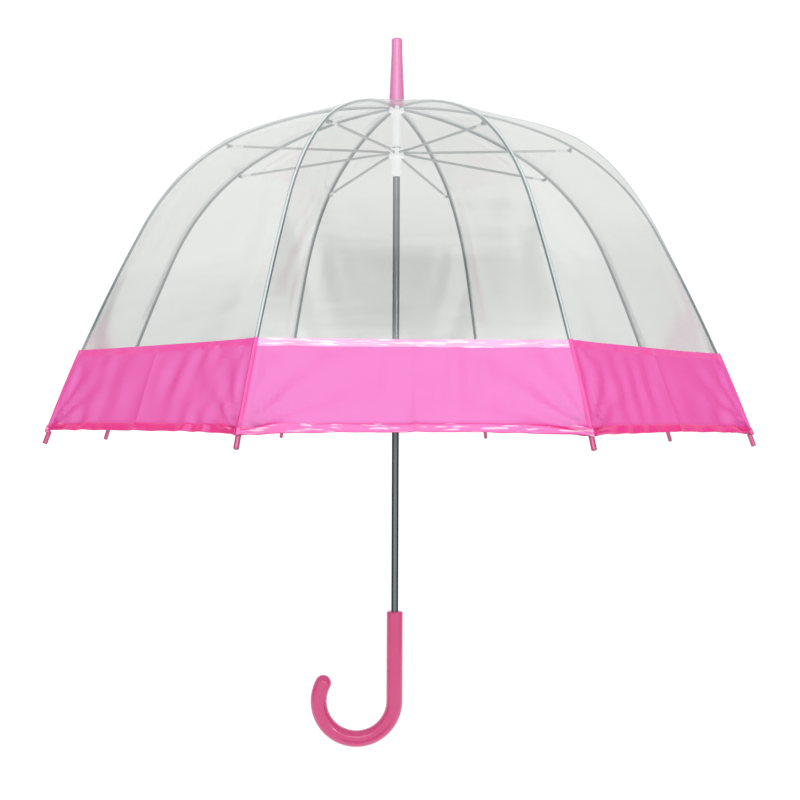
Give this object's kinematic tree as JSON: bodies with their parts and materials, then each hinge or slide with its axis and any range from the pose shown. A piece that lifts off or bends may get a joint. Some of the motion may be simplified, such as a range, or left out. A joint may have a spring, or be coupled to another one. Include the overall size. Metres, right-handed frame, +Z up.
{
  "type": "stick umbrella",
  "caption": "Stick umbrella with a clear dome canopy, a coloured border, steel ribs and stretchers on a sliding runner, and a crook handle.",
  "frame": {"origin": "on the shaft's axis, at the handle's top face where the shaft enters the grip", "axes": "+Z up the shaft towards the ferrule, the crook opens towards -X, one canopy panel faces -Y"},
  "size_m": [0.725, 0.725, 0.8105],
  "materials": {
    "shaft_steel": "bright plated steel tube",
    "handle_plastic": "glossy moulded plastic, rose pink",
    "ferrule_plastic": "glossy moulded plastic, pink",
    "tip_plastic": "glossy moulded plastic, deep pink",
    "white_plastic": "plain moulded plastic, white",
    "clear_film": "clear soft film, glossy, a little grey green",
    "border_cloth": "plain soft cloth-like film, satin, pink",
    "hem_tape": "glossy binding, deep pink",
    "rib_steel": "dull plated steel, blue grey",
    "wire_steel": "drawn steel wire",
    "catch_steel": "spring steel strip"
  },
  "bodies": {
    "root": {"shaft": "shaft_steel", "handle": "handle_plastic", "ferrule": "ferrule_plastic", "film_washer": "clear_film", "top_notch": "white_plastic", "notch_wire": "wire_steel", "notch_rivet": "wire_steel", "spacer_tube": "white_plastic", "stop_ring": "wire_steel", "border_band": "border_cloth", "hem": "hem_tape", "canopy_panel_1": "clear_film", "canopy_panel_2": "clear_film", "canopy_panel_3": "clear_film", "canopy_panel_4": "clear_film", "canopy_panel_5": "clear_film", "canopy_panel_6": "clear_film", "canopy_panel_7": "clear_film", "canopy_panel_8": "clear_film"},
    "runner": {"runner": "white_plastic", "runner_wire": "wire_steel"},
    "top_catch": {"top_catch": "catch_steel"},
    "bottom_catch": {"bottom_catch": "catch_steel"},
    "rib_upper_1": {"rib_upper_1": "rib_steel"},
    "rib_lower_1": {"rib_lower_1": "rib_steel", "rib_tip_1": "tip_plastic"},
    "stretcher_1": {"stretcher_1": "rib_steel"},
    "rib_upper_2": {"rib_upper_2": "rib_steel"},
    "rib_lower_2": {"rib_lower_2": "rib_steel", "rib_tip_2": "tip_plastic"},
    "stretcher_2": {"stretcher_2": "rib_steel"},
    "rib_upper_3": {"rib_upper_3": "rib_steel"},
    "rib_lower_3": {"rib_lower_3": "rib_steel", "rib_tip_3": "tip_plastic"},
    "stretcher_3": {"stretcher_3": "rib_steel"},
    "rib_upper_4": {"rib_upper_4": "rib_steel"},
    "rib_lower_4": {"rib_lower_4": "rib_steel", "rib_tip_4": "tip_plastic"},
    "stretcher_4": {"stretcher_4": "rib_steel"},
    "rib_upper_5": {"rib_upper_5": "rib_steel"},
    "rib_lower_5": {"rib_lower_5": "rib_steel", "rib_tip_5": "tip_plastic"},
    "stretcher_5": {"stretcher_5": "rib_steel"},
    "rib_upper_6": {"rib_upper_6": "rib_steel"},
    "rib_lower_6": {"rib_lower_6": "rib_steel", "rib_tip_6": "tip_plastic"},
    "stretcher_6": {"stretcher_6": "rib_steel"},
    "rib_upper_7": {"rib_upper_7": "rib_steel"},
    "rib_lower_7": {"rib_lower_7": "rib_steel", "rib_tip_7": "tip_plastic"},
    "stretcher_7": {"stretcher_7": "rib_steel"},
    "rib_upper_8": {"rib_upper_8": "rib_steel"},
    "rib_lower_8": {"rib_lower_8": "rib_steel", "rib_tip_8": "tip_plastic"},
    "stretcher_8": {"stretcher_8": "rib_steel"}
  },
  "joints": [
    {"name": "runner_slide", "type": "slide", "parent": "root", "child": "runner", "axis": [0, 0, 1], "range_m": [-0.344, 0], "deforming": ["canopy_panel_1", "canopy_panel_2", "canopy_panel_3", "canopy_panel_4", "canopy_panel_5", "canopy_panel_6", "canopy_panel_7", "canopy_panel_8", "border_band", "hem"]},
    {"name": "top_catch_press", "type": "slide", "parent": "root", "child": "top_catch", "axis": [0, 1, 0], "range_m": [-0.0021, 0], "stiffness_N_per_m": 2000},
    {"name": "bottom_catch_press", "type": "slide", "parent": "root", "child": "bottom_catch", "axis": [0, 1, 0], "range_m": [-0.0021, 0], "stiffness_N_per_m": 2000},
    {"name": "rib_hinge_1", "type": "hinge", "parent": "root", "child": "rib_upper_1", "pos_m": [0.00601, 0.00249, 0.575], "axis": [-0.3827, 0.9239, 0], "range_deg": [0, 67.81]},
    {"name": "rib_flex_1", "type": "hinge", "parent": "rib_upper_1", "child": "rib_lower_1", "pos_m": [0.18626, 0.07715, 0.51503], "axis": [-0.3827, 0.9239, 0], "range_deg": [-36.01, 0]},
    {"name": "stretcher_hinge_1", "type": "hinge", "parent": "runner", "child": "stretcher_1", "pos_m": [0.00647, 0.00268, 0.5242], "axis": [-0.3827, 0.9239, 0], "range_deg": [-89.76, 0]},
    {"name": "rib_hinge_2", "type": "hinge", "parent": "root", "child": "rib_upper_2", "pos_m": [0.00249, 0.00601, 0.575], "axis": [-0.9239, 0.3827, 0], "range_deg": [0, 67.81]},
    {"name": "rib_flex_2", "type": "hinge", "parent": "rib_upper_2", "child": "rib_lower_2", "pos_m": [0.07715, 0.18626, 0.51503], "axis": [-0.9239, 0.3827, 0], "range_deg": [-36.01, 0]},
    {"name": "stretcher_hinge_2", "type": "hinge", "parent": "runner", "child": "stretcher_2", "pos_m": [0.00268, 0.00647, 0.5242], "axis": [-0.9239, 0.3827, 0], "range_deg": [-89.76, 0]},
    {"name": "rib_hinge_3", "type": "hinge", "parent": "root", "child": "rib_upper_3", "pos_m": [-0.00249, 0.00601, 0.575], "axis": [-0.9239, -0.3827, 0], "range_deg": [0, 67.81]},
    {"name": "rib_flex_3", "type": "hinge", "parent": "rib_upper_3", "child": "rib_lower_3", "pos_m": [-0.07715, 0.18626, 0.51503], "axis": [-0.9239, -0.3827, 0], "range_deg": [-36.01, 0]},
    {"name": "stretcher_hinge_3", "type": "hinge", "parent": "runner", "child": "stretcher_3", "pos_m": [-0.00268, 0.00647, 0.5242], "axis": [-0.9239, -0.3827, 0], "range_deg": [-89.76, 0]},
    {"name": "rib_hinge_4", "type": "hinge", "parent": "root", "child": "rib_upper_4", "pos_m": [-0.00601, 0.00249, 0.575], "axis": [-0.3827, -0.9239, 0], "range_deg": [0, 67.81]},
    {"name": "rib_flex_4", "type": "hinge", "parent": "rib_upper_4", "child": "rib_lower_4", "pos_m": [-0.18626, 0.07715, 0.51503], "axis": [-0.3827, -0.9239, 0], "range_deg": [-36.01, 0]},
    {"name": "stretcher_hinge_4", "type": "hinge", "parent": "runner", "child": "stretcher_4", "pos_m": [-0.00647, 0.00268, 0.5242], "axis": [-0.3827, -0.9239, 0], "range_deg": [-89.76, 0]},
    {"name": "rib_hinge_5", "type": "hinge", "parent": "root", "child": "rib_upper_5", "pos_m": [-0.00601, -0.00249, 0.575], "axis": [0.3827, -0.9239, 0], "range_deg": [0, 67.81]},
    {"name": "rib_flex_5", "type": "hinge", "parent": "rib_upper_5", "child": "rib_lower_5", "pos_m": [-0.18626, -0.07715, 0.51503], "axis": [0.3827, -0.9239, 0], "range_deg": [-36.01, 0]},
    {"name": "stretcher_hinge_5", "type": "hinge", "parent": "runner", "child": "stretcher_5", "pos_m": [-0.00647, -0.00268, 0.5242], "axis": [0.3827, -0.9239, 0], "range_deg": [-89.76, 0]},
    {"name": "rib_hinge_6", "type": "hinge", "parent": "root", "child": "rib_upper_6", "pos_m": [-0.00249, -0.00601, 0.575], "axis": [0.9239, -0.3827, 0], "range_deg": [0, 67.81]},
    {"name": "rib_flex_6", "type": "hinge", "parent": "rib_upper_6", "child": "rib_lower_6", "pos_m": [-0.07715, -0.18626, 0.51503], "axis": [0.9239, -0.3827, 0], "range_deg": [-36.01, 0]},
    {"name": "stretcher_hinge_6", "type": "hinge", "parent": "runner", "child": "stretcher_6", "pos_m": [-0.00268, -0.00647, 0.5242], "axis": [0.9239, -0.3827, 0], "range_deg": [-89.76, 0]},
    {"name": "rib_hinge_7", "type": "hinge", "parent": "root", "child": "rib_upper_7", "pos_m": [0.00249, -0.00601, 0.575], "axis": [0.9239, 0.3827, 0], "range_deg": [0, 67.81]},
    {"name": "rib_flex_7", "type": "hinge", "parent": "rib_upper_7", "child": "rib_lower_7", "pos_m": [0.07715, -0.18626, 0.51503], "axis": [0.9239, 0.3827, 0], "range_deg": [-36.01, 0]},
    {"name": "stretcher_hinge_7", "type": "hinge", "parent": "runner", "child": "stretcher_7", "pos_m": [0.00268, -0.00647, 0.5242], "axis": [0.9239, 0.3827, 0], "range_deg": [-89.76, 0]},
    {"name": "rib_hinge_8", "type": "hinge", "parent": "root", "child": "rib_upper_8", "pos_m": [0.00601, -0.00249, 0.575], "axis": [0.3827, 0.9239, 0], "range_deg": [0, 67.81]},
    {"name": "rib_flex_8", "type": "hinge", "parent": "rib_upper_8", "child": "rib_lower_8", "pos_m": [0.18626, -0.07715, 0.51503], "axis": [0.3827, 0.9239, 0], "range_deg": [-36.01, 0]},
    {"name": "stretcher_hinge_8", "type": "hinge", "parent": "runner", "child": "stretcher_8", "pos_m": [0.00647, -0.00268, 0.5242], "axis": [0.3827, 0.9239, 0], "range_deg": [-89.76, 0]}
  ],
  "couplings": [
    {"joint": "rib_hinge_1", "follows": "runner_slide", "rad_per_m": -3.4406},
    {"joint": "rib_flex_1", "follows": "runner_slide", "rad_per_m": 1.8272},
    {"joint": "stretcher_hinge_1", "follows": "runner_slide", "rad_per_m": 4.5539},
    {"joint": "rib_hinge_2", "follows": "runner_slide", "rad_per_m": -3.4406},
    {"joint": "rib_flex_2", "follows": "runner_slide", "rad_per_m": 1.8272},
    {"joint": "stretcher_hinge_2", "follows": "runner_slide", "rad_per_m": 4.5539},
    {"joint": "rib_hinge_3", "follows": "runner_slide", "rad_per_m": -3.4406},
    {"joint": "rib_flex_3", "follows": "runner_slide", "rad_per_m": 1.8272},
    {"joint": "stretcher_hinge_3", "follows": "runner_slide", "rad_per_m": 4.5539},
    {"joint": "rib_hinge_4", "follows": "runner_slide", "rad_per_m": -3.4406},
    {"joint": "rib_flex_4", "follows": "runner_slide", "rad_per_m": 1.8272},
    {"joint": "stretcher_hinge_4", "follows": "runner_slide", "rad_per_m": 4.5539},
    {"joint": "rib_hinge_5", "follows": "runner_slide", "rad_per_m": -3.4406},
    {"joint": "rib_flex_5", "follows": "runner_slide", "rad_per_m": 1.8272},
    {"joint": "stretcher_hinge_5", "follows": "runner_slide", "rad_per_m": 4.5539},
    {"joint": "rib_hinge_6", "follows": "runner_slide", "rad_per_m": -3.4406},
    {"joint": "rib_flex_6", "follows": "runner_slide", "rad_per_m": 1.8272},
    {"joint": "stretcher_hinge_6", "follows": "runner_slide", "rad_per_m": 4.5539},
    {"joint": "rib_hinge_7", "follows": "runner_slide", "rad_per_m": -3.4406},
    {"joint": "rib_flex_7", "follows": "runner_slide", "rad_per_m": 1.8272},
    {"joint": "stretcher_hinge_7", "follows": "runner_slide", "rad_per_m": 4.5539},
    {"joint": "rib_hinge_8", "follows": "runner_slide", "rad_per_m": -3.4406},
    {"joint": "rib_flex_8", "follows": "runner_slide", "rad_per_m": 1.8272},
    {"joint": "stretcher_hinge_8", "follows": "runner_slide", "rad_per_m": 4.5539}
  ]
}
